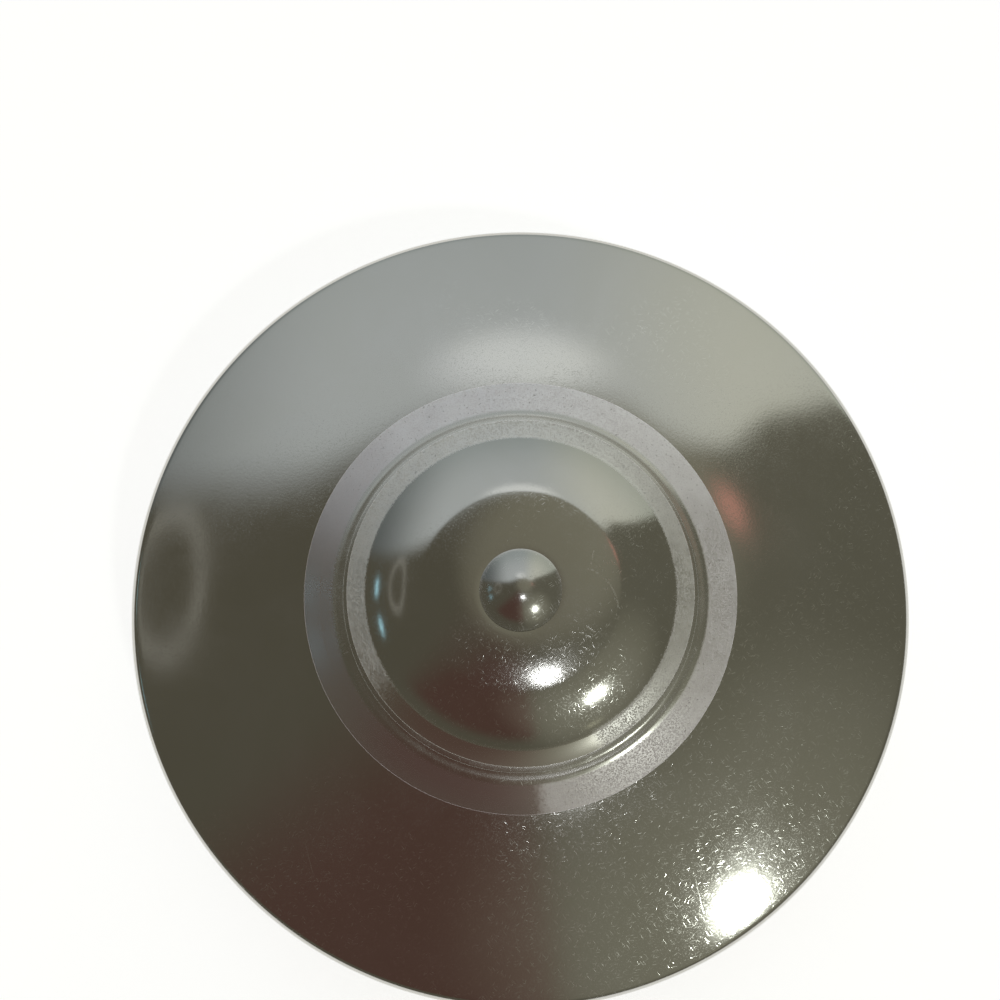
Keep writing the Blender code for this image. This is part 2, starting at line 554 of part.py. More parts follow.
def main():
    clear_scene()
    make_cutter_shell()
    make_neck_sleeve()
    make_neck_rivets()
    make_guide_bush()
    make_spring_seats()
    make_return_spring()
    make_knob_core()
    make_knob_bell()
    make_knob_cap()
    make_plunger_rod()
    make_crimper_washers()
    make_crimper()
    parent_moving_pieces()


main()
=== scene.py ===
import math

import bpy
import numpy as np
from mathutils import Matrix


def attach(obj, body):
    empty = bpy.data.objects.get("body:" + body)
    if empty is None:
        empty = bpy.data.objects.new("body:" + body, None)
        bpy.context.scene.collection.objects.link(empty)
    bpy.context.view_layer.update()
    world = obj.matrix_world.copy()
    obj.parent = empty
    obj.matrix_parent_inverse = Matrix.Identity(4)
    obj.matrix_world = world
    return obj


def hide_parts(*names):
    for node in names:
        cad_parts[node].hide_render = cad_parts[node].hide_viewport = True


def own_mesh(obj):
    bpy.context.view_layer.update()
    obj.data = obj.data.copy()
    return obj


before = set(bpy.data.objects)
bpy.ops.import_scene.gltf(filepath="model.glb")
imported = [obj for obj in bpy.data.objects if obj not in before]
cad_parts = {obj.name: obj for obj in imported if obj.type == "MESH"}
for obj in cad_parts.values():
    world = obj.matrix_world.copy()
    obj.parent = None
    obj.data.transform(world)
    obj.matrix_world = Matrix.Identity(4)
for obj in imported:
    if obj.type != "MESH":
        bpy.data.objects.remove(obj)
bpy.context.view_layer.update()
mm = 0.001


# Points along an arc: the centre plus the radius times (cos, sin) of an angle that runs evenly from start to end.
def arcRun(centre, radius, start, end, count):
    angle = np.radians(np.linspace(start, end, count))
    return np.stack([centre[0] + radius * np.cos(angle), centre[1] + radius * np.sin(angle)], axis=1)


# Joins runs of (distance, height) points into one outline, without points that fall on the one before.
def outlineOf(*runs):
    points = np.concatenate([np.atleast_2d(np.asarray(run, float)) for run in runs])
    step = np.linalg.norm(points - np.roll(points, 1, axis=0), axis=1)
    return points[step > 1e-4]


# Corners of an outline, each given by the names of its distance and its height in the piece's dictionary
def corners(size, *names):
    return np.array([[size[part] for part in name.split()] for name in names], float)


# Rounds the corners of a closed outline. Each round's centre is on the corner's bisector, at radius / sin(half the
# corner), and its points swing evenly from one side to the other. Where two sides nearly run on, nothing changes.
def softened(outline, radius, steps=4, leastSwing=14):
    back = np.roll(outline, 1, axis=0) - outline
    ahead = np.roll(outline, -1, axis=0) - outline
    backLength = np.linalg.norm(back, axis=1)
    aheadLength = np.linalg.norm(ahead, axis=1)
    back /= backLength[:, None]
    ahead /= aheadLength[:, None]
    half = np.arccos(np.clip((back * ahead).sum(axis=1), -0.9999, 1)) / 2
    swing = np.pi - 2 * half
    rounded = swing > math.radians(leastSwing)
    reach = np.minimum(radius / np.tan(half), 0.45 * np.minimum(backLength, aheadLength))
    reach = np.where(rounded, reach, 0)
    middle = back + ahead
    middle /= np.maximum(np.linalg.norm(middle, axis=1), 1e-9)[:, None]
    centre = outline + middle * (reach / np.cos(half))[:, None]
    first = outline + back * reach[:, None] - centre
    last = outline + ahead * reach[:, None] - centre
    share = np.linspace(0, 1, steps)[None, :, None]
    bend = swing[:, None, None]
    swung = np.sin((1 - share) * bend) * first[:, None] + np.sin(share * bend) * last[:, None]
    return outlineOf((centre[:, None] + swung / np.sin(bend)).reshape(-1, 2))


# The faces of a tube of rings of points: each ring is joined to the next, and the last to the first where it closes.
def ringFaces(count, sides, closed):
    row, column = np.meshgrid(np.arange(count if closed else count - 1), np.arange(sides), indexing="ij")
    near, far, after = row * sides, (row + 1) % count * sides, (column + 1) % sides
    return np.stack([near + column, near + after, far + after, far + column], axis=2).reshape(-1, 4).tolist()


# The faces that end such a tube in two single points, which are numbered after its rings
def endFaces(count, sides):
    side, last = np.arange(sides), (count - 1) * sides
    after = (side + 1) % sides
    first = np.stack([np.full(sides, count * sides), after, side], axis=1)
    final = np.stack([last + side, last + after, np.full(sides, count * sides + 1)], axis=1)
    return first.tolist() + final.tolist()


# Turns an outline, in millimetres, round an upright axis through the centre: x and y are its distance times (cos, sin)
# of the angle, z its height. It runs anticlockwise, so that the faces look outwards. One that starts and ends on the
# axis closes there in single points, and any other closes on itself. A wave, if there is one, adds to the distance.
def turnedMesh(name, outline, segments, wave=None, centre=(0, 0)):
    onAxis = outline[0, 0] < 1e-6
    rings = outline[1:-1] if onAxis else outline
    angle = np.arange(segments) * 2 * np.pi / segments
    distance = rings[:, 0][:, None] * np.ones(segments)
    height = rings[:, 1][:, None] * np.ones(segments)
    if wave:
        distance = distance + wave(distance, height, angle[None, :])
    points = np.stack([distance * np.cos(angle), distance * np.sin(angle), height], axis=2).reshape(-1, 3)
    faces = ringFaces(len(rings), segments, not onAxis)
    if onAxis:
        points = np.concatenate([points, [[0, 0, outline[0, 1]], [0, 0, outline[-1, 1]]]])
        faces += endFaces(len(rings), segments)
    points[:, :2] += centre
    mesh = bpy.data.meshes.new(name)
    mesh.from_pydata((points * mm).tolist(), [], faces)
    return mesh


# Makes the shown piece for a CAD node: a mesh at the origin, smooth where its faces run on, riding on the node's body.
def showPiece(name, mesh, body, node, material, sharpAngle=38):
    mesh.shade_smooth()
    mesh.set_sharp_from_angle(angle=math.radians(sharpAngle))
    mesh.materials.append(material)
    piece = bpy.data.objects.new(name, mesh)
    bpy.context.scene.collection.objects.link(piece)
    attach(piece, body)
    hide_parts(node)
    return piece


# Turns an outline into the shown piece for a CAD node.
def showTurned(name, outline, size, body, node, slot, material, **shape):
    mesh = turnedMesh(name, outline, size["segments"], **shape)
    return showPiece(name, mesh, body, node, material)


# Gives a socket its value: an output is linked, and a number, vector or colour is set.
def feed(socket, value):
    if isinstance(value, bpy.types.NodeSocket):
        socket.id_data.links.new(value, socket)
    elif socket.type == "RGBA":
        socket.default_value = (*value, 1)
    else:
        socket.default_value = value


# Adds a shader node to the tree that its inputs come from. The inputs get their values by number or name, and the
# node its settings by name.
def addNode(kind, inputs, **settings):
    tree = next(value.id_data for value in inputs.values() if isinstance(value, bpy.types.NodeSocket))
    node = tree.nodes.new("ShaderNode" + kind)
    for setting, value in settings.items():
        setattr(node, setting, value)
    for socket, value in inputs.items():
        feed(node.inputs[socket], value)
    return node


# Node helpers: each adds one node and returns its output.
def maths(operation, first, second=0.0):
    return addNode("Math", {0: first, 1: second}, operation=operation).outputs[0]


def times(first, second):
    return maths("MULTIPLY", first, second)


def plus(first, second):
    return maths("ADD", first, second)


def minus(first, second):
    return maths("SUBTRACT", first, second)


def stretch(value, low, high, lowOut=0.0, highOut=1.0):
    inputs = dict(enumerate((value, low, high, lowOut, highOut)))
    return addNode("MapRange", inputs, interpolation_type="SMOOTHSTEP").outputs[0]


def dot(vector, other):
    return addNode("VectorMath", {0: vector, 1: other}, operation="DOT_PRODUCT").outputs["Value"]


def blendColour(share, first, second, mode="MIX"):
    return addNode("Mix", {0: share, 6: first, 7: second}, data_type="RGBA", blend_type=mode).outputs[2]


def blendValue(share, first, second):
    return addNode("Mix", {0: share, 2: first, 3: second}).outputs[0]


def cloud(vector, size, detail=3.0, rough=0.55, warp=0.0):
    inputs = {"Vector": vector, "Scale": 1 / (size * mm), "Detail": detail, "Roughness": rough, "Distortion": warp}
    return addNode("TexNoise", inputs).outputs["Fac"]


# A vector's (x, y) part in millimetres, and its length
def flatPart(vector):
    flat = addNode("VectorMath", {0: vector, 1: (1 / mm, 1 / mm, 0)}, operation="MULTIPLY").outputs[0]
    return flat, addNode("VectorMath", {0: flat}, operation="LENGTH").outputs["Value"]


# The piece's own coordinates, and its distance from the axis and height in millimetres
def places(tree):
    place = tree.nodes.new("ShaderNodeTexCoord").outputs["Object"]
    return place, flatPart(place)[1], dot(place, (0, 0, 1 / mm))


# The length round the axis at a radius: the angle, in radians, times the radius. The split coordinates come with it.
def roundAxis(place, radius):
    split = addNode("SeparateXYZ", {0: place}).outputs
    return times(maths("ARCTAN2", split[1], split[0]), radius * mm), split


# The level direction at an angle anticlockwise from east
def compass(angle):
    return (math.cos(math.radians(angle)), math.sin(math.radians(angle)), 0)


# Scratches: a flat Voronoi pattern whose cells are stretched along one direction holds one thin dash in each cell, and
# a random share of the dashes is kept. One such layer is laid for each direction.
def scratchLayer(place, length, width, turn, kept, seed):
    dash = 0.2
    laid = {
        "Vector": place,
        "Location": (seed * mm, seed * 0.7 * mm, 0),
        "Rotation": (0, 0, math.radians(turn)),
        "Scale": (length / 2 / dash * mm, width / 2 / dash * mm, 1),
    }
    bent = addNode("Mapping", laid, vector_type="TEXTURE").outputs[0]
    cells = addNode("TexVoronoi", {"Vector": bent, "Scale": 1}, voronoi_dimensions="2D").outputs
    line = stretch(cells["Distance"], dash, dash * 0.35)
    drawn = addNode("SeparateColor", {0: cells["Color"]}).outputs
    chosen = stretch(drawn[0], 1 - kept, 1 - kept + 0.02)
    strength = stretch(drawn[1], 0, 1, 0.2, 1)
    return times(times(line, chosen), strength)


# One long scratch: a thin line on an arc, given by its middle, radius, direction and half length in degrees. It shows
# where the distance from the middle is close to the radius, and a noise breaks it into dots.
def longScratch(place, middle, radius, toward, halfLength, width):
    centre = (middle[0] * mm, middle[1] * mm, 0)
    away = addNode("VectorMath", {0: place, 1: centre}, operation="SUBTRACT").outputs[0]
    flat, distance = flatPart(away)
    line = stretch(maths("ABSOLUTE", minus(distance, radius)), width / 2, width / 5)
    cosine = maths("DIVIDE", dot(flat, compass(toward)), distance)
    line = times(line, maths("GREATER_THAN", cosine, math.cos(math.radians(halfLength))))
    return times(line, stretch(cloud(place, 0.3, 1, 0.5), 0.36, 0.52))


# Where a flat pattern lies on a turned piece: (x, y) on a face that looks up or down, and (angle x radius, z) on a
# face that looks sideways
def flatPlace(place, radius):
    length, split = roundAxis(place, radius)
    side = addNode("CombineXYZ", {0: length, 1: split[2]}).outputs[0]
    looks = dot(place.id_data.nodes.new("ShaderNodeTexCoord").outputs["Normal"], (0, 0, 1))
    upright = maths("LESS_THAN", maths("ABSOLUTE", looks), 0.6)
    return addNode("Mix", {0: upright, 4: place, 5: side}, data_type="VECTOR").outputs[1]


def newMaterial(name):
    material = bpy.data.materials.new(name)
    material.use_nodes = True
    return material, material.node_tree


# Ends a metal: its relief, in millimetres, becomes a bump, and its tint and roughness go to the shader.
def finishMetal(relief, tint, rough):
    bump = addNode("Bump", {"Strength": 1, "Distance": mm, "Height": relief}).outputs[0]
    shader = relief.id_data.nodes["Principled BSDF"]
    for socket, value in {"Normal": bump, "Base Color": tint, "Roughness": rough, "Metallic": 1}.items():
        feed(shader.inputs[socket], value)


# The part of a satin face that is rubbed smooth, with painted shade on it: it starts sharply at one direction from the
# axis, and fades out past an angle from another. The cosine of an angle is the dot product over the distance, made
# ragged by the pits.
def smoothShadedShare(place, distance, pits, side):
    start, middle, fadeFrom, fadeTo = side
    sharp, faded = (-0.05, 0.05), (math.cos(math.radians(fadeTo)), math.cos(math.radians(fadeFrom)))
    share = 1.0
    for facing, (least, most), ragged in ((start - 90, sharp, 0.1), (middle, faded, 0.2)):
        toward = tuple(part / mm for part in compass(facing))
        cosine = maths("DIVIDE", dot(place, toward), distance)
        cosine = plus(cosine, times(minus(pits, 0.5), ragged))
        share = times(share, stretch(cosine, least, most))
    return share


# A satin face: fine pits, fibres round the axis, and patches, with one side rubbed smooth and painted darker as shade
def satinFinish(place, distance, radius, look):
    pits = cloud(place, look["grainSize"], 1.5, 0.5, 0.3)
    speck = cloud(place, look["speckSize"], 1, 0.5)
    around = {0: roundAxis(place, radius)[0], 1: times(distance, 0.3 * mm)}
    fibre = cloud(addNode("CombineXYZ", around).outputs[0], look["fibreSize"], 2, 0.6, 0.4)
    patch = cloud(place, look["patchSize"], 3, 0.6)
    relief = plus(times(pits, look["grainDepth"]), times(fibre, look["fibreDepth"]))
    tint = blendColour(stretch(patch, 0.3, 0.7), look["colour"], look["patchColour"])
    tint = blendColour(stretch(pits, 0.38, 0.22), tint, look["pitColour"])
    rough = stretch(patch, 0.3, 0.7, look["roughness"], look["patchRoughness"])
    rough = blendValue(stretch(speck, 0.46, 0.58), rough, look["speckRoughness"])
    smoothShaded = smoothShadedShare(place, distance, pits, look["smoothShadedSide"])
    relief = times(relief, minus(1.0, times(smoothShaded, 0.85)))
    # on the smooth side the tint is painted shade, darker than the rest of the satin
    tint = blendColour(smoothShaded, tint, look["paintedShadeColour"])
    return relief, tint, blendValue(smoothShaded, rough, look["smoothRoughness"])


# What every worn bright metal starts from: sizes and depths in millimetres. Each scratch layer has a length, a width,
# a direction in degrees, and the share of its dashes that is kept.
wornLook = {
    "colour": (0.56, 0.55, 0.51),
    "hazeColour": (0.58, 0.57, 0.54),
    "grainSize": 0.3,
    "grainDepth": 0.002,
    "rubSize": 0.16,
    "rubRoughness": 0.13,
    "scratchDepth": 0.003,
    "scratchRoughness": 0.3,
    "scratchShine": 0.4,
    "scratchColour": (0.85, 0.85, 0.82),
    "longScratches": [],
    "rubbedSide": (0, 0, 0),
    "wornLeast": 0.2,
}


# A worn bright metal: its reflection is blurred by smudges, bent by slow waves, and broken by scratches and grain.
# Where a satin zone is given, that part is matt and grained instead.
def wornMetal(name, look, radius, satinZone=None, satinLook=None):
    material, tree = newMaterial(name)
    place, distance, height = places(tree)
    flat = flatPlace(place, radius)
    smudge = cloud(place, look["smudgeSize"], 4, 0.6, 0.4)
    haze = stretch(smudge, 0.35, 0.75)
    tint = blendColour(haze, look["colour"], look["hazeColour"])
    rough = blendValue(haze, look["roughness"], look["hazeRoughness"])
    wave = times(cloud(place, look["waveSize"], 1, 0.4), look["waveDepth"])
    grain = times(cloud(place, look["grainSize"], 2, 0.6), look["grainDepth"])
    relief = plus(wave, grain)
    # rubbed spots, too small to see one by one, that spread the light of a lamp round its reflection
    rubbed = stretch(cloud(place, look["rubSize"], 2, 0.6), 0.52, 0.7)
    rubbed = times(rubbed, stretch(smudge, 0.3, 0.7, 0.5, 1))
    rough = plus(rough, times(rubbed, look["rubRoughness"]))
    marks = 0.0
    for index, scratches in enumerate(look["scratches"]):
        marks = maths("MAXIMUM", marks, scratchLayer(flat, *scratches, 3.1 + index * 17))
    toRubbed = dot(place, tuple(part / mm for part in look["rubbedSide"]))
    worn = plus(cloud(place, look["wornSize"], 2, 0.5), toRubbed)
    marks = times(marks, stretch(worn, 0.45, 0.65, look["wornLeast"], 1))
    for scratch in look["longScratches"]:
        marks = maths("MAXIMUM", marks, longScratch(place, *scratch))
    relief = minus(relief, times(marks, look["scratchDepth"]))
    rough = plus(rough, times(marks, look["scratchRoughness"]))
    tint = blendColour(times(marks, look["scratchShine"]), tint, look["scratchColour"])
    if satinZone:
        zone = satinZone(distance, height)
        satinRelief, satinTint, satinRough = satinFinish(place, distance, radius, satinLook)
        relief = blendValue(zone, relief, satinRelief)
        tint = blendColour(zone, tint, satinTint)
        rough = blendValue(zone, rough, satinRough)
    finishMetal(relief, tint, rough)
    return material


# A metal turned on a lathe: fine rings, which depend on distance and height alone, with smudges, stains and small nicks
def turnedMetal(name, look):
    material, tree = newMaterial(name)
    place, distance, height = places(tree)
    along = addNode("CombineXYZ", {0: times(distance, mm), 2: times(height, mm)}).outputs[0]
    rings = cloud(along, look["ringSize"], 3, 0.7)
    nick = stretch(cloud(place, look["nickSize"], 2, 0.6, 0.5), 0.30, 0.22)
    smudge = cloud(place, look["smudgeSize"], 4, 0.6, 0.4)
    relief = minus(times(rings, look["ringDepth"]), times(nick, look["nickDepth"]))
    tint = blendColour(stretch(smudge, 0.4, 0.7), look["colour"], look["stainColour"])
    tint = blendColour(stretch(rings, 0.55, 0.75, 0, 0.35), tint, look["ringColour"])
    rough = stretch(smudge, 0.3, 0.75, look["roughness"], look["hazeRoughness"])
    finishMetal(relief, tint, rough)
    return material


# Cutter shell: sizes in millimetres, angles in degrees
shell = {
    "radius": 46.0,
    "sheet": 0.9,
    "skirtHeight": 15.6,
    "shoulder": 1.4,
    "rimSlope": 12.0,
    "seatRadius": 16.0,
    "hole": 4.75,
    "edgeLand": 0.4,
    "edgeBevel": 2.0,
    "corner": 0.12,
    "segments": 512,
    "look": {
        **wornLook,
        "roughness": 0.085,
        "hazeRoughness": 0.14,
        "smudgeSize": 16.0,
        "waveSize": 14.0,
        "waveDepth": 0.02,
        "grainDepth": 0.0025,
        "scratches": [
            (0.9, 0.11, 8, 0.28), (0.7, 0.11, 67, 0.3), (1.0, 0.11, 128, 0.28), (0.5, 0.11, 155, 0.34),
            (0.7, 0.11, 38, 0.34), (6.0, 0.10, 104, 0.03),
        ],
        "scratchDepth": 0.0026,
        "scratchRoughness": 0.14,
        "scratchShine": 0.35,
        "rubbedSide": (0.0045, -0.0045, 0),
        "wornSize": 22.0,
        "wornLeast": 0.06,
    },
}


# The cup's outline: up the skirt, round the shoulder, along a shallow arc that ends level at the neck's seat, and back
# inside at the sheet's thickness. The arc's radius is its width over the sine of the slope that it starts with.
def shellOutline(size):
    slope = math.radians(size["rimSlope"])
    shoulderCentre = (size["radius"] - size["shoulder"], size["skirtHeight"])
    arcStart = shoulderCentre[0] + size["shoulder"] * math.sin(slope)
    arcRadius = (arcStart - size["seatRadius"]) / math.sin(slope)
    top = shoulderCentre[1] + size["shoulder"] * math.cos(slope) + arcRadius * (1 - math.cos(slope))
    arcCentre = (size["seatRadius"], top - arcRadius)
    turn = 90 - size["rimSlope"]
    inner = size["radius"] - size["sheet"]
    outline = outlineOf(
        (size["radius"], 0),
        arcRun(shoulderCentre, size["shoulder"], 0, turn, 16),
        arcRun(arcCentre, arcRadius, turn, 90, 48)[1:],
        (size["hole"], top),
        (size["hole"], top - size["sheet"]),
        arcRun(arcCentre, arcRadius - size["sheet"], 90, turn, 32),
        arcRun(shoulderCentre, size["shoulder"] - size["sheet"], turn, 0, 6)[1:],
        (inner, size["edgeBevel"]),
        (size["radius"] - size["edgeLand"], 0),
    )
    return softened(outline, size["corner"]), top


shellPoints, shellTop = shellOutline(shell)
shellMetal = wornMetal("shellPlating", shell["look"], shell["radius"])
showTurned("cutterShell", shellPoints, shell, "cutter", "cutter_shell", "plated_steel", shellMetal)
print("cutter shell: top at", round(shellTop, 2), "mm")

# Knob bell: the sloping matt finger flange, the bright channel, the short wall and the ledge
bell = {
    "hemCentre": (19.3, 42.506),
    "hemRadius": 0.5,
    "edgeFillet": 0.05,
    "slope": 20.0,
    # the slope, in degrees, at distances going in over the step, the lip, the channel and the foot of the wall
    "run": [
        (18.34, 20), (18.28, 25), (18.22, 15), (18.16, 20),
        (17.2, 20), (16.95, 17), (16.72, 14), (16.6, 8), (16.45, 4), (16.2, 6), (15.98, 15),
        (15.88, 24), (15.81, 42), (15.74, 65), (15.67, 84),
    ],
    "runPoints": 110,
    "wallRadius": 15.65,
    "shoulderFillet": 0.035,
    "ledgeSlope": 8.0,
    "ledgeTurn": 15.1,
    "ledgeHeight": 46.302,
    "neckRadius": 13.8,
    "beadRadius": 14.15,
    "beadBase": 47.302,
    "beadTop": 47.802,
    "throatRadius": 10.9,
    "sheet": 0.9,
    "corner": 0.08,
    "segments": 448,
    "look": {
        **wornLook,
        "colour": (0.55, 0.54, 0.50),
        "hazeColour": (0.57, 0.56, 0.53),
        "roughness": 0.2,
        "hazeRoughness": 0.27,
        "smudgeSize": 6.0,
        "waveSize": 6.0,
        "waveDepth": 0.01,
        "scratches": [(0.8, 0.08, 25, 0.2), (0.8, 0.08, 110, 0.2)],
        "scratchDepth": 0.004,
        "rubbedSide": (0.004, -0.004, 0),
        "wornSize": 10.0,
    },
    "satin": {
        "colour": (0.84, 0.81, 0.82),
        "patchColour": (0.90, 0.875, 0.885),
        "pitColour": (0.60, 0.57, 0.57),
        "roughness": 0.42,
        "patchRoughness": 0.48,
        "speckSize": 0.14,
        "speckRoughness": 0.75,
        "grainSize": 0.26,
        "grainDepth": 0.008,
        "fibreSize": 0.17,
        "fibreDepth": 0.006,
        "patchSize": 3.0,
        "from": 16.85,
        "to": 17.15,
        # where it starts, its middle, and how far from the middle it begins and ends to fade, in degrees from east
        "smoothShadedSide": (-84, -120, 58, 125),
        # the smooth side's colour is painted shade: darker and pinker than the lit flange
        "paintedShadeColour": (0.62, 0.56, 0.56),
        "smoothRoughness": 0.27,
    },
}


# The bell's outline: round the hem, up the sloping flange with its fine step, over its lip and the channel and up the
# wall, over a small shoulder to the sloping ledge, and up the bead that the cap is crimped on. From the flange to the
# wall the height is the running sum of the tangent of the slope. The inside follows at the sheet's thickness.
def bellOutline(size):
    hem, slope = size["hemCentre"], math.radians(size["slope"])
    fillet, ledgeSlope = size["shoulderFillet"], math.radians(size["ledgeSlope"])
    ledgeFall = (size["wallRadius"] - fillet - size["ledgeTurn"]) * math.tan(ledgeSlope)
    shoulder = (size["wallRadius"] - fillet, size["ledgeHeight"] - ledgeFall - fillet)
    innerWall = size["wallRadius"] - size["sheet"]
    throat = hem[1] + (hem[0] - innerWall) * math.tan(slope) - size["hemRadius"]
    neckBore = size["neckRadius"] - size["sheet"]

    def flangeHeight(radius):
        return hem[1] + size["hemRadius"] / math.cos(slope) + (hem[0] - radius) * math.tan(slope)

    edgeRadius = hem[0] + size["hemRadius"] - size["edgeFillet"]
    edge = (edgeRadius, flangeHeight(edgeRadius) - size["edgeFillet"] / math.cos(slope))
    radii, slopes = np.array(size["run"]).T
    along = np.linspace(radii[0], radii[-1], size["runPoints"])
    rise = np.tan(np.radians(np.interp(along, radii[::-1], slopes[::-1])))
    climbed = np.concatenate([[0], np.cumsum((rise[1:] + rise[:-1]) / 2 * -np.diff(along))])
    sheet = size["sheet"]
    bead = outlineOf(
        corners(size, "neckRadius ledgeHeight", "neckRadius beadBase", "beadRadius beadBase", "beadRadius beadTop"),
        corners(size, "throatRadius beadTop"),
        (size["throatRadius"], size["beadTop"] - sheet),
        (neckBore, size["beadTop"] - sheet),
        (neckBore, size["ledgeHeight"] - sheet),
        (innerWall, size["ledgeHeight"] - sheet),
        (innerWall, throat),
    )
    return outlineOf(
        arcRun(hem, size["hemRadius"], -90 - size["slope"], 0, 24),
        arcRun(edge, size["edgeFillet"], 0, 90 - size["slope"], 8),
        np.stack([along, flangeHeight(along[0]) + climbed], axis=1),
        arcRun(shoulder, fillet, 0, 90 - size["ledgeSlope"], 10),
        corners(size, "ledgeTurn ledgeHeight"),
        softened(bead, size["corner"]),
    )


def flangeZone(distance, height):
    return stretch(distance, bell["satin"]["from"], bell["satin"]["to"])


bellMetal = wornMetal("bellSatin", bell["look"], bell["wallRadius"], flangeZone, bell["satin"])
showTurned("knobBell", bellOutline(bell), bell, "plunger", "knob_bell", "satin_alloy", bellMetal)
print("knob bell: flange edge at", bell["hemCentre"][0] + bell["hemRadius"], "mm")

# Knob cap: the low dome with its sloping satin brim, crimped round the bell's bead
cap = {
    "sheet": 0.6,
    "rimRadius": 14.95,
    "rimFillet": 0.05,
    "lip": 46.502,
    "brim": 48.602,
    "brimSlope": 9.0,
    "curlRadius": 14.0,
    "domeRadius": 13.6,
    "breakRadius": 8.5,
    "breakWidth": 0.4,
    "seatRadius": 4.0,
    "breakSlope": 6.0,
    "shoulderSlope": 10.0,
    "edgeSlope": 30.0,
    "top": 50.694,
    "hole": 2.4,
    "corner": 0.05,
    "segments": 512,
    "look": {
        **wornLook,
        "roughness": 0.09,
        "hazeRoughness": 0.14,
        "smudgeSize": 6.0,
        "waveSize": 5.0,
        "waveDepth": 0.006,
        "grainSize": 0.25,
        "grainDepth": 0.0015,
        "scratches": [
            (0.5, 0.09, 40, 0.3), (0.4, 0.09, 115, 0.3), (0.6, 0.09, 160, 0.3), (0.35, 0.09, 80, 0.3),
            (3.0, 0.08, 60, 0.04),
        ],
        # middle, radius, direction, half length and width of each
        "longScratches": [
            ((4.35, -1.75), 3.82, 38, 33, 0.22),
            ((-13.4, 7.55), 20, -14.2, 2.05, 0.2),
            ((-3.65, -21.56), 20, 63.3, 2.0, 0.2),
            ((-5.56, -19.69), 20, 55.2, 1.2, 0.22),
        ],
        "scratchDepth": 0.0024,
        "scratchRoughness": 0.14,
        "scratchShine": 0.35,
        "rubbedSide": (0.012, -0.012, 0),
        "wornSize": 9.0,
        "wornLeast": 0.06,
    },
    "satin": {
        "colour": (0.76, 0.745, 0.72),
        "patchColour": (0.82, 0.805, 0.78),
        "pitColour": (0.60, 0.585, 0.57),
        "roughness": 0.36,
        "patchRoughness": 0.42,
        "speckSize": 0.12,
        "speckRoughness": 0.75,
        "grainSize": 0.25,
        "grainDepth": 0.002,
        "fibreSize": 0.25,
        "fibreDepth": 0.001,
        "patchSize": 1.2,
        "from": 13.15,
        "to": 13.55,
        "below": 47.9,
        "fade": 0.3,
        "smoothShadedSide": (-62, -100, 38, 54),
        # the smooth side's colour is painted shade: darker and warmer than the lit brim
        "paintedShadeColour": (0.60, 0.58, 0.53),
        "smoothRoughness": 0.25,
    },
}


# The dome's run: a flat seat, a crown arc, a short break arc and a shoulder arc down to the brim, each tangent to the
# next. Each arc's radius is its width over the difference of the sines of its two slopes.
def domeRun(size, offset):
    slopes = np.radians([0, size["breakSlope"], size["shoulderSlope"], size["edgeSlope"]])
    halfBreak = size["breakWidth"] / 2
    breakStart, breakEnd = size["breakRadius"] - halfBreak, size["breakRadius"] + halfBreak
    ends = np.array([size["seatRadius"], breakStart, breakEnd, size["domeRadius"]])
    radii = np.diff(ends) / np.diff(np.sin(slopes))
    falls = radii * -np.diff(np.cos(slopes))
    starts = size["top"] - np.concatenate([[0], np.cumsum(falls)])
    runs = [(size["hole"], size["top"] - offset)]
    for index, count in enumerate((14, 5, 48)):
        away = radii[index] * np.array((math.sin(slopes[index]), math.cos(slopes[index])))
        centre = np.array((ends[index], starts[index])) - away
        first, last = 90 - np.degrees(slopes[index : index + 2])
        runs.append(arcRun(centre, radii[index] - offset, first, last, count))
    return outlineOf(*runs), starts[-1]


# The cap's outline, anticlockwise: the dome from the brim up to its hole, down through the sheet and back along the
# underside, then round the lip and curl to the outer rim and over it to the brim.
def capOutline(size):
    outer, foot = domeRun(size, 0)
    inner = domeRun(size, size["sheet"])[0]
    under = size["brim"] - size["sheet"]
    slope = math.radians(size["brimSlope"])
    fillet = size["rimFillet"]
    rimFall = (size["rimRadius"] - fillet - size["domeRadius"]) * math.tan(slope)
    rim = (size["rimRadius"] - fillet, size["brim"] - rimFall - fillet / math.cos(slope))
    curl = (rim[0], size["lip"] + fillet)
    lipInner = size["rimRadius"] - size["sheet"]
    outline = outlineOf(
        outer[::-1],
        inner,
        (inner[-1, 0], under),
        (lipInner, under),
        (lipInner, size["lip"] + size["sheet"]),
        (size["curlRadius"], size["lip"] + size["sheet"]),
        (size["curlRadius"], size["lip"]),
        arcRun(curl, fillet, -90, 0, 12),
        arcRun(rim, fillet, 0, 90 - size["brimSlope"], 14),
    )
    return softened(outline, size["corner"], leastSwing=35), foot


def brimZone(distance, height):
    satin = cap["satin"]
    above = stretch(height, satin["below"] - satin["fade"], satin["below"])
    return times(stretch(distance, satin["from"], satin["to"]), above)


capPoints, domeFoot = capOutline(cap)
capMetal = wornMetal("capPlating", cap["look"], cap["rimRadius"], brimZone, cap["satin"])
showTurned("knobCap", capPoints, cap, "plunger", "knob_cap", "plated_steel", capMetal)
print("knob cap: dome foot at", round(domeFoot, 3), "mm, brim at", cap["brim"], "mm")

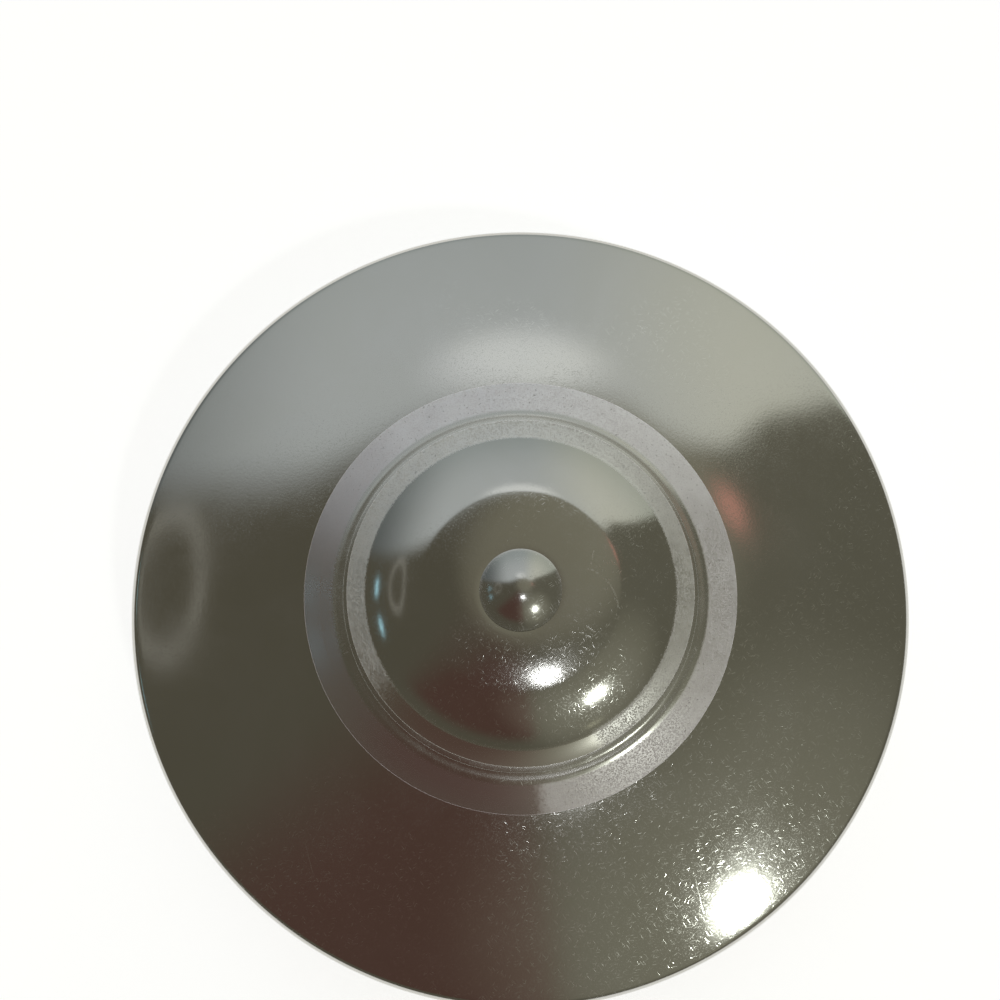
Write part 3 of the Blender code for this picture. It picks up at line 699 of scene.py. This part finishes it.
# Plunger rod: a round head flush on the cap, a thick shank in the bush and a head under the crimper
rod = {
    "headRadius": 3.45,
    "headHeight": 1.2,
    "headBase": 50.994,
    "footDrop": 0.25,
    "footInset": 0.15,
    "spigot": 2.25,
    "shank": 3.0,
    "shoulderTop": 40.822,
    "shoulderBase": 17.856,
    "tailTop": 14.007,
    "segments": 192,
    "look": {
        **wornLook,
        "colour": (0.56, 0.55, 0.52),
        "roughness": 0.15,
        "hazeRoughness": 0.17,
        "smudgeSize": 2.5,
        "waveSize": 2.5,
        "waveDepth": 0.003,
        "grainSize": 0.25,
        "grainDepth": 0.0015,
        "scratches": [(0.5, 0.07, 30, 0.3), (0.6, 0.07, 120, 0.3)],
        "scratchColour": (0.8, 0.8, 0.78),
        "rubbedSide": (0.02, -0.02, 0),
        "wornSize": 3.0,
    },
}


# A domed head: a cap of a sphere whose radius is (rim radius squared + height squared) / (2 x height), from its rim to
# the axis. With a height below zero it hangs down, and runs from the axis to its rim.
def headRun(radius, base, height, count):
    sphere = (radius**2 + height**2) / (2 * abs(height))
    start = math.degrees(math.asin((sphere - abs(height)) / sphere))
    run = arcRun((0, abs(height) - sphere), sphere, start, 90, count)
    run[-1, 0] = 0
    if height < 0:
        run = run[::-1] * (1, -1)
    return run + (0, base)


# The rod's outline, from the axis under its tail to the axis on its head. The head's base is hidden: it is drawn out
# to the dome, so that no light shows under it.
def rodOutline(size):
    foot = size["headBase"] - size["footDrop"]
    return outlineOf(
        headRun(size["headRadius"], size["tailTop"], -size["headHeight"], 24),
        corners(size, "spigot tailTop", "spigot shoulderBase", "shank shoulderBase", "shank shoulderTop"),
        corners(size, "spigot shoulderTop"),
        (size["spigot"], foot),
        (size["headRadius"] - size["footInset"], foot),
        headRun(size["headRadius"], size["headBase"], size["headHeight"], 40),
    )


rodMetal = wornMetal("rodSteel", rod["look"], rod["shank"])
showTurned("plungerRod", rodOutline(rod), rod, "plunger", "plunger_rod", "plain_steel", rodMetal)
print("plunger rod: head on", rod["headBase"], "mm")

# Neck: the flanged tube riveted to the shell, which houses the spring
neck = {
    "radius": 9.9,
    "bore": 8.9,
    "base": 20.306,
    "flangeRadius": 15.2,
    "flangeTop": 21.306,
    "fillet": 0.6,
    "top": 43.122,
    "corner": 0.15,
    "segments": 384,
    "look": {
        "colour": (0.57, 0.555, 0.535),
        "stainColour": (0.50, 0.48, 0.455),
        "ringColour": (0.66, 0.65, 0.63),
        "roughness": 0.26,
        "hazeRoughness": 0.42,
        "ringSize": 0.12,
        "ringDepth": 0.004,
        "nickSize": 0.7,
        "nickDepth": 0.02,
        "smudgeSize": 5.0,
    },
}


# The neck's outline: the flange, a concave fillet (a quarter arc) up into the tube, and down its bore
def neckOutline(size):
    fillet = (size["radius"] + size["fillet"], size["flangeTop"] + size["fillet"])
    outline = outlineOf(
        corners(size, "bore base", "flangeRadius base", "flangeRadius flangeTop"),
        arcRun(fillet, size["fillet"], -90, -180, 8),
        corners(size, "radius top", "bore top"),
    )
    return softened(outline, size["corner"])


neckMetal = turnedMetal("neckSatin", neck["look"])
showTurned("neckSleeve", neckOutline(neck), neck, "cutter", "neck_sleeve", "satin_alloy", neckMetal)

# Rivets: three domed heads that hold the neck's flange, on one circle
rivets = {
    "circle": 12.85,
    "firstAngle": 37.0,
    "count": 3,
    "headRadius": 1.6,
    "headHeight": 0.8,
    "headBase": 21.606,
    "tailTop": 18.806,
    "shank": 0.9,
    "segments": 64,
    "look": {
        **wornLook,
        "colour": (0.50, 0.49, 0.47),
        "hazeColour": (0.55, 0.54, 0.51),
        "roughness": 0.2,
        "hazeRoughness": 0.34,
        "smudgeSize": 1.2,
        "waveSize": 1.5,
        "waveDepth": 0.004,
        "grainSize": 0.15,
        "scratches": [(0.5, 0.06, 20, 0.3), (0.4, 0.06, 95, 0.3)],
        "scratchColour": (0.75, 0.74, 0.72),
        "wornSize": 2.0,
        "wornLeast": 0.3,
    },
}


def rivetOutline(size):
    return outlineOf(
        headRun(size["headRadius"], size["tailTop"], -size["headHeight"], 14),
        corners(size, "shank tailTop", "shank headBase"),
        headRun(size["headRadius"], size["headBase"], size["headHeight"], 14),
    )


rivetMetal = wornMetal("rivetSteel", rivets["look"], rivets["circle"])
for index in range(rivets["count"]):
    turn = math.radians(rivets["firstAngle"]) + 2 * math.pi * index / rivets["count"]
    centre = (rivets["circle"] * math.cos(turn), rivets["circle"] * math.sin(turn))
    name, node = f"neckRivet{index + 1}", f"neck_rivet_{index + 1}"
    showTurned(name, rivetOutline(rivets), rivets, "cutter", node, "plain_steel", rivetMetal, centre=centre)
print("neck and rivets: neck top at", neck["top"], "mm")

# Guide bush: the flanged brass bearing that the rod slides in, its foot rolled out under the shell
bush = {
    "bore": 3.15,
    "base": 18.006,
    "lipRadius": 5.8,
    "lipTop": 18.806,
    "radius": 4.6,
    "flangeRadius": 7.0,
    "flangeBase": 20.306,
    "flangeTop": 21.306,
    "corner": 0.2,
    "segments": 192,
    "look": {
        "colour": (0.74, 0.57, 0.28),
        "stainColour": (0.52, 0.36, 0.17),
        "ringColour": (0.84, 0.70, 0.42),
        "roughness": 0.2,
        "hazeRoughness": 0.42,
        "ringSize": 0.1,
        "ringDepth": 0.003,
        "nickSize": 0.5,
        "nickDepth": 0.015,
        "smudgeSize": 3.0,
    },
}


def bushOutline(size):
    foot = corners(size, "bore base", "lipRadius base", "lipRadius lipTop", "radius lipTop")
    flange = corners(size, "radius flangeBase", "flangeRadius flangeBase", "flangeRadius flangeTop", "bore flangeTop")
    return softened(outlineOf(foot, flange), size["corner"])


bushMetal = turnedMetal("bushBrass", bush["look"])
showTurned("guideBush", bushOutline(bush), bush, "cutter", "guide_bush", "bush_brass", bushMetal)

# Washers: bore, outer radius, base and top of each
washers = {
    "lowerSpringWasher": ("cutter", "lower_spring_washer", 3.3, 8.5, 21.606, 22.406),
    "upperSpringWasher": ("spring_head", "upper_spring_washer", 3.3, 8.5, 40.022, 40.822),
    "crimperTopWasher": ("plunger", "crimper_top_washer", 2.4, 8.0, 16.707, 17.706),
    "crimperTailWasher": ("plunger", "crimper_tail_washer", 2.4, 6.0, 14.307, 15.307),
}
washerLook = {
    "corner": 0.18,
    "segments": 192,
    "colour": (0.50, 0.49, 0.475),
    "stainColour": (0.42, 0.39, 0.36),
    "ringColour": (0.60, 0.59, 0.575),
    "roughness": 0.2,
    "hazeRoughness": 0.4,
    "ringSize": 0.14,
    "ringDepth": 0.004,
    "nickSize": 0.6,
    "nickDepth": 0.02,
    "smudgeSize": 3.5,
}


def washerOutline(bore, outer, base, top):
    return softened(np.array([(bore, base), (outer, base), (outer, top), (bore, top)], float), washerLook["corner"])


washerMetal = turnedMetal("washerSteel", washerLook)
for name, (body, node, bore, outer, base, top) in washers.items():
    showTurned(name, washerOutline(bore, outer, base, top), washerLook, body, node, "plain_steel", washerMetal)
print("bush and", len(washers), "washers")

# Return spring: an open coil with close, level end turns
spring = {
    "coilRadius": 6.3,
    "wire": 0.55,
    "turns": 6.5,
    "endTurns": 0.75,
    "low": 23.256,
    "high": 39.172,
    "keep": 0.6457,
    "steps": 64,
    "sides": 24,
    "look": {
        "colour": (0.34, 0.34, 0.35),
        "rubColour": (0.50, 0.49, 0.48),
        "roughness": 0.24,
        "hazeRoughness": 0.4,
        "drawSize": 0.05,
        "drawDepth": 0.004,
        "smudgeSize": 2.5,
    },
}


# A wire swept along a helix, whose climb eases off over the end turns: with t the turns from an end and e the end
# turns, it is t squared / 2e there, and t - e/2 in between. The wire's round cross-section stands square to the path.
def springMesh(size):
    turn = np.linspace(0, size["turns"], round(size["turns"] * size["steps"]) + 1)
    ease = size["endTurns"]
    eased = size["turns"] - ease
    climbed = np.where(turn < ease, turn**2 / (2 * ease), turn - ease / 2)
    climbed = np.where(turn > eased, eased - (size["turns"] - turn) ** 2 / (2 * ease), climbed)
    angle = 2 * np.pi * turn
    height = size["low"] + (size["high"] - size["low"]) * climbed / eased
    path = np.stack([size["coilRadius"] * np.cos(angle), size["coilRadius"] * np.sin(angle), height], axis=1)
    along = np.gradient(path, axis=0)
    along /= np.linalg.norm(along, axis=1)[:, None]
    away = np.stack([np.cos(angle), np.sin(angle), 0 * angle], axis=1)
    away -= along * (away * along).sum(axis=1)[:, None]
    away /= np.linalg.norm(away, axis=1)[:, None]
    aside = np.cross(along, away)
    swing = np.arange(size["sides"]) * 2 * np.pi / size["sides"]
    ring = np.cos(swing)[None, :, None] * away[:, None] + np.sin(swing)[None, :, None] * aside[:, None]
    points = np.concatenate([(path[:, None] + size["wire"] * ring).reshape(-1, 3), path[[0, -1]]])
    count, sides = len(path), size["sides"]
    mesh = bpy.data.meshes.new("returnSpring")
    mesh.from_pydata((points * mm).tolist(), [], ringFaces(count, sides, False) + endFaces(count, sides))
    # the map's first part is the length along the wire, the second the way round it, both in metres
    length = np.concatenate([[0], np.cumsum(np.linalg.norm(np.diff(path, axis=0), axis=1))])
    girth = 2 * np.pi * size["wire"] / sides
    row, column = np.meshgrid(np.arange(count - 1), np.arange(sides), indexing="ij")
    mapU = np.stack([length[row], length[row], length[row + 1], length[row + 1]], axis=2)
    mapV = np.stack([column, column + 1, column + 1, column], axis=2) * girth
    mapped = np.concatenate([np.stack([mapU, mapV], axis=3).reshape(-1, 2), np.zeros((6 * sides, 2))])
    layer = mesh.uv_layers.new(name="wire")
    layer.data.foreach_set("uv", (mapped * mm).astype(np.float32).ravel())
    return mesh


# Drawn wire: fine lines along it, from a noise stretched along the map's first part, and smudges rubbed bright
def drawnWire(name, look):
    material, tree = newMaterial(name)
    place = tree.nodes.new("ShaderNodeTexCoord").outputs["Object"]
    onWire = tree.nodes.new("ShaderNodeUVMap")
    onWire.uv_map = "wire"
    drawn = addNode("Mapping", {"Vector": onWire.outputs[0], "Scale": (0.03, 1, 1)}).outputs[0]
    lines = cloud(drawn, look["drawSize"], 3, 0.6)
    smudge = cloud(place, look["smudgeSize"], 4, 0.6, 0.5)
    tint = blendColour(stretch(smudge, 0.5, 0.72), look["colour"], look["rubColour"])
    rough = stretch(smudge, 0.3, 0.7, look["roughness"], look["hazeRoughness"])
    finishMetal(times(lines, look["drawDepth"]), tint, rough)
    return material


springMetal = drawnWire("springWire", spring["look"])
returnSpring = showPiece("returnSpring", springMesh(spring), "cutter", "return_spring", springMetal, 50)
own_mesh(returnSpring)
print("return spring:", spring["turns"], "turns")

# Knob core: the spacer between the rod's shoulder and the cap, with the flange that the spring pushes up
core = {
    "bore": 2.4,
    "base": 41.122,
    "flangeRadius": 8.5,
    "flangeTop": 42.622,
    "radius": 4.6,
    "top": 49.794,
    "corner": 0.2,
    "segments": 192,
    "look": {
        "colour": (0.48, 0.47, 0.46),
        "stainColour": (0.40, 0.38, 0.35),
        "ringColour": (0.58, 0.57, 0.56),
        "roughness": 0.22,
        "hazeRoughness": 0.4,
        "ringSize": 0.16,
        "ringDepth": 0.006,
        "nickSize": 0.6,
        "nickDepth": 0.02,
        "smudgeSize": 4.0,
    },
}


def coreOutline(size):
    flange = corners(size, "bore base", "flangeRadius base", "flangeRadius flangeTop")
    tube = corners(size, "radius flangeTop", "radius top", "bore top")
    return softened(outlineOf(flange, tube), size["corner"])


coreMetal = turnedMetal("coreSteel", core["look"])
showTurned("knobCore", coreOutline(core), core, "plunger", "knob_core", "plain_steel", coreMetal)

# Crimper: the inner cup whose fluted edge seals the dough
crimper = {
    "radius": 43.4,
    "sheet": 0.8,
    "edge": 6.5,
    "top": 16.407,
    "shoulder": 2.2,
    "bore": 2.4,
    "flutes": 40,
    "fluteDepth": 0.6,
    "straight": 2.5,
    "corner": 0.18,
    "segments": 640,
    "look": {
        **wornLook,
        "colour": (0.55, 0.54, 0.50),
        "hazeColour": (0.57, 0.56, 0.53),
        "roughness": 0.14,
        "hazeRoughness": 0.22,
        "smudgeSize": 12.0,
        "waveSize": 9.0,
        "waveDepth": 0.02,
        "scratches": [(1.4, 0.09, 15, 0.2), (1.0, 0.09, 75, 0.2), (1.6, 0.08, 140, 0.2), (8.0, 0.07, 50, 0.12)],
        "scratchDepth": 0.004,
        "scratchRoughness": 0.4,
        "scratchShine": 0.5,
        "scratchColour": (0.8, 0.8, 0.77),
        "wornSize": 20.0,
    },
}


# The crimper's outline: up the skirt, round the shoulder to the flat top and its bore, and back under it
def crimperOutline(size):
    corner = (size["radius"] - size["shoulder"], size["top"] - size["shoulder"])
    outline = outlineOf(
        (size["radius"], size["edge"]),
        (size["radius"], size["edge"] + size["straight"]),
        arcRun(corner, size["shoulder"], 0, 90, 16),
        (size["bore"], size["top"]),
        (size["bore"], size["top"] - size["sheet"]),
        arcRun(corner, size["shoulder"] - size["sheet"], 90, 0, 12),
        (size["radius"] - size["sheet"], size["edge"] + size["straight"]),
        (size["radius"] - size["sheet"], size["edge"]),
    )
    return softened(outline, size["corner"])


# The flutes: the skirt's distance changes by a cosine wave round it, which fades out over the shoulder's lower half
def fluteWave(distance, height, angle):
    low = crimper["top"] - crimper["shoulder"]
    share = np.clip((low + crimper["shoulder"] / 2 - height) / (crimper["shoulder"] / 2), 0, 1)
    share = np.where(distance > crimper["radius"] - crimper["shoulder"], share, 0)
    return crimper["fluteDepth"] * share * np.cos(crimper["flutes"] * angle)


crimperMetal = wornMetal("crimperPlating", crimper["look"], crimper["radius"])
outline = crimperOutline(crimper)
showTurned("flutedCrimper", outline, crimper, "plunger", "crimper", "plated_steel", crimperMetal, wave=fluteWave)
print("core and crimper:", crimper["flutes"], "flutes")

# Light: the room round the tool, as metal shows it. Directions are (east, north, up).
room = {
    "west": (0.115, 0.107, 0.080),
    "east": (0.152, 0.147, 0.112),
    "wedge": (0.105, 0.060, 0.048),
    "southeast": (0.10, 0.10, 0.08),
    "overhead": (0.12, 0.117, 0.092),
    "windowLow": (0.39, 0.44, 0.445),
    "windowHigh": (0.575, 0.615, 0.63),
    "windowSpot": (0.36, 0.36, 0.36),
    "windowEast": (1.3, 1.24, 1.08),
    "ring": (0.2, 0.2, 0.195),
    "panes": (0.65, 1.16, 1.4),
    "rug": (0.70, 0.35, 0.28),
    "streak": (0.8, 0.8, 0.6),
    "horizon": (0.95, 0.95, 0.95),
}

# The room's soft ovals: angle from east, angle from straight up, half height and half width, in degrees
ovals = {
    "hoop": (171, 41, 5.3, 7.5),
    "nearPane": (173.3, 56.5, 1.5, 4.0),
    "farPane": (189, 55, 1.5, 4.0),
    "streak": (-58.5, 58, 1.0, 4.0),
    "windowSpot": (90, 28, 5.5, 9.0),
    "rug": (33, 24, 2.4, 3.6),
}


# The direction at an angle anticlockwise from east, and an angle from straight up
def unitVector(angle, fromTop):
    east, north, _ = compass(angle)
    tilt = math.radians(fromTop)
    return (math.sin(tilt) * east, math.sin(tilt) * north, math.cos(tilt))


# A soft oval in the sky, as a distance from its middle: the sideways and upright offsets, each over the sine of its
# half size in degrees, joined by Pythagoras. It is 1 on the oval's edge.
def ovalDistance(way, angle, fromTop, halfTall, halfWide):
    turn, tilt = math.radians(angle), math.radians(fromTop)
    down = np.array((math.cos(tilt) * math.cos(turn), math.cos(tilt) * math.sin(turn), -math.sin(tilt)))
    side = np.array((-math.sin(turn), math.cos(turn), 0))
    tall = dot(way, tuple(down / math.sin(math.radians(halfTall))))
    wide = dot(way, tuple(side / math.sin(math.radians(halfWide))))
    behind = stretch(dot(way, unitVector(angle, fromTop)), 0.5, 0.3, 0, 50)
    squares = plus(times(tall, tall), times(wide, wide))
    return plus(maths("SQRT", squares), behind)


def lightRoom():
    world = bpy.data.worlds.new("studioRoom")
    bpy.context.scene.world = world
    world.use_nodes = True
    tree = world.node_tree
    way = tree.nodes.new("ShaderNodeTexCoord").outputs["Generated"]
    eastward = dot(way, (1, 0, 0))
    upward = dot(way, (0, 0, 1))
    # dark walls, lighter to the east, with a warm wedge to the south west and glows to the south east and overhead
    walls = blendColour(stretch(eastward, -0.15, 0.3), room["west"], room["east"])
    wedge = stretch(dot(way, (-0.9925, -0.1219, 0)), -0.03, 0.05)
    wedge = times(wedge, stretch(dot(way, (0.616, -0.788, 0)), -0.14, 0.10))
    wedge = times(wedge, stretch(upward, 0.5, 0.643))
    walls = blendColour(wedge, walls, room["wedge"])
    for glow, toward, low, high in (("southeast", (-50, 40), 0.82, 0.99), ("overhead", (62, 14), 0.955, 0.992)):
        share = stretch(dot(way, unitVector(*toward)), low, high)
        walls = blendColour(share, walls, room[glow], "ADD")
    # a faint hoop to the west with two cool panes under it, and a dull streak to the south
    hoop = maths("ABSOLUTE", minus(ovalDistance(way, *ovals["hoop"]), 1.0))
    walls = blendColour(stretch(hoop, 0.25, 0.04), walls, room["ring"], "ADD")
    for oval, soft, colour in (("nearPane", 0.4, "panes"), ("farPane", 0.4, "panes"), ("streak", 0.3, "streak")):
        share = stretch(ovalDistance(way, *ovals[oval]), 1.2, soft)
        walls = blendColour(share, walls, room[colour])
    # a broad window to the north, dimmer towards the west and brightest low over the tool
    window = blendColour(stretch(upward, 0.15, 0.9), room["windowLow"], room["windowHigh"])
    spot = stretch(ovalDistance(way, *ovals["windowSpot"]), 1.2, 0.5)
    window = blendColour(spot, window, room["windowSpot"], "ADD")
    window = blendColour(stretch(eastward, 0.0, 0.45), window, room["windowEast"], "MULTIPLY")
    window = blendColour(stretch(eastward, -0.3, -0.9, 1.0, 0.35), (0, 0, 0), window)
    # the window's lower edge dips over the tool, with a bulge beside it, and is softer in the west
    over = stretch(maths("ABSOLUTE", eastward), 0.35, 0.05, 0.0, 0.06)
    bulge = stretch(maths("ABSOLUTE", minus(eastward, 0.3)), 0.16, 0.04, 0.0, 0.045)
    edge = minus(dot(way, (-0.13, 1, 0.168)), minus(over, bulge))
    softness = stretch(eastward, -0.6, 0.3, 0.10, 0.035)
    inWindow = stretch(maths("DIVIDE", minus(edge, 0.48), softness), -0.6, 0.6)
    light = blendColour(inWindow, walls, window)
    rug = stretch(ovalDistance(way, *ovals["rug"]), 1.1, 0.2)
    light = blendColour(rug, light, room["rug"])
    # the walls fade to white near the floor, and the camera sees a white backdrop
    light = blendColour(stretch(upward, 0.20, 0.03), light, room["horizon"])
    seen = tree.nodes.new("ShaderNodeLightPath").outputs["Is Camera Ray"]
    light = blendColour(seen, light, room["horizon"])
    shader = tree.nodes["Background"]
    feed(shader.inputs["Color"], light)
    feed(shader.inputs["Strength"], 1)


# Two soft lamps: where they hang (angle from east, angle from the top, distance in metres), size, power and colour.
# Each looks at one point in the knob.
lampAim = (0, 0, 0.045)
lamps = {
    "southEastLamp": {"hangs": (-50, 40.6, 2.5), "size": 0.15, "power": 4.5, "colour": (0.95, 1.0, 0.93)},
    "southLamp": {"hangs": (-66.5, 11.2, 0.8), "size": 0.04, "power": 0.11, "colour": (0.93, 0.96, 1.0)},
}


def hangLamps():
    for name, lamp in lamps.items():
        light = bpy.data.lights.new(name, "AREA")
        light.shape = "DISK"
        light.size = lamp["size"]
        light.energy = lamp["power"]
        light.color = lamp["colour"]
        hung = bpy.data.objects.new(name, light)
        angle, fromTop, distance = lamp["hangs"]
        hung.location = np.array(unitVector(angle, fromTop)) * distance + lampAim
        hung.rotation_euler = (math.radians(fromTop), 0, math.radians(angle) + math.pi / 2)
        hung.visible_camera = False
        bpy.context.scene.collection.objects.link(hung)


# The floor: a wide pale disc, white to the camera and in reflections, that keeps the tool's shadow. From below it is
# clear, so that the tool's underside can be looked at.
floor = {"radius": 3.0, "sides": 96, "colour": (0.86, 0.86, 0.86), "fill": 0.72}


def layFloor():
    angle = np.linspace(0, 2 * np.pi, floor["sides"], endpoint=False)
    rim = np.stack([np.cos(angle), np.sin(angle), 0 * angle], axis=1) * floor["radius"]
    mesh = bpy.data.meshes.new("floor")
    mesh.from_pydata(rim.tolist(), [], [list(range(len(angle)))])
    material, tree = newMaterial("paleFloor")
    tree.nodes.remove(tree.nodes["Principled BSDF"])
    seen = tree.nodes.new("ShaderNodeLightPath").outputs
    either = maths("MAXIMUM", seen["Is Camera Ray"], seen["Is Glossy Ray"])
    either = maths("MAXIMUM", either, seen["Is Transmission Ray"])
    matt = tree.nodes.new("ShaderNodeBsdfDiffuse")
    feed(matt.inputs["Color"], floor["colour"])
    glowing = addNode("Emission", {"Strength": times(either, floor["fill"])}).outputs[0]
    both = addNode("AddShader", {0: matt.outputs[0], 1: glowing}).outputs[0]
    below = tree.nodes.new("ShaderNodeNewGeometry").outputs["Backfacing"]
    clear = tree.nodes.new("ShaderNodeBsdfTransparent").outputs[0]
    sided = addNode("MixShader", {0: below, 1: both, 2: clear}).outputs[0]
    feed(tree.nodes["Material Output"].inputs["Surface"], sided)
    mesh.materials.append(material)
    laid = bpy.data.objects.new("floor", mesh)
    bpy.context.scene.collection.objects.link(laid)


# The camera looks almost straight down from 134 mm: its place in metres, its tilt in radians, its lens and sensor in
# millimetres, and its shift as a share of the sensor
camera = {
    "place": (-0.000099, -0.006452, 0.134054),
    "tilt": (0.0504, -0.0005),
    "lens": 36,
    "sensor": 36,
    "shift": (-0.02, 0.117),
    "near": 0.005,
}


def setCamera():
    seeing = bpy.data.cameras.new("camera")
    seeing.lens = camera["lens"]
    seeing.sensor_width = camera["sensor"]
    seeing.shift_x, seeing.shift_y = camera["shift"]
    seeing.clip_start = camera["near"]
    held = bpy.data.objects.new("camera", seeing)
    held.location = camera["place"]
    held.rotation_euler = (*camera["tilt"], 0)
    bpy.context.scene.collection.objects.link(held)
    bpy.context.scene.camera = held


lightRoom()
hangLamps()
layFloor()
setCamera()
bpy.context.scene.view_settings.view_transform = "Standard"
print("room, lamps, floor and camera set")
